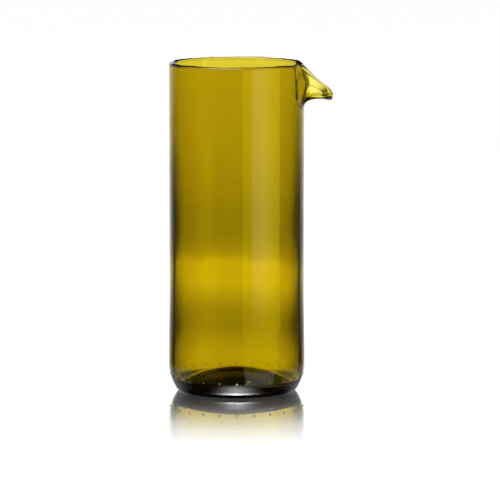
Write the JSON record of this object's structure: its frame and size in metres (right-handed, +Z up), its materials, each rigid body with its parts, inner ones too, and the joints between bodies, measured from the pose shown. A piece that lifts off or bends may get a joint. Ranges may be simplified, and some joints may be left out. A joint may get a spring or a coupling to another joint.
{
  "type": "carafe",
  "caption": "Straight-sided olive glass carafe with a domed base, a melted rim and a narrow drawn beak for pouring.",
  "frame": {"origin": "on the vessel's axis, in the plane of the bearing ring that stands on the table", "axes": "+Z up along the vessel's axis, +X out through the spout, +Y across it"},
  "size_m": [0.0915, 0.076, 0.1843],
  "materials": {
    "glass": "clear polished olive-yellow glass"
  },
  "bodies": {
    "root": {"base": "glass", "body": "glass", "spout": "glass"}
  },
  "joints": []
}
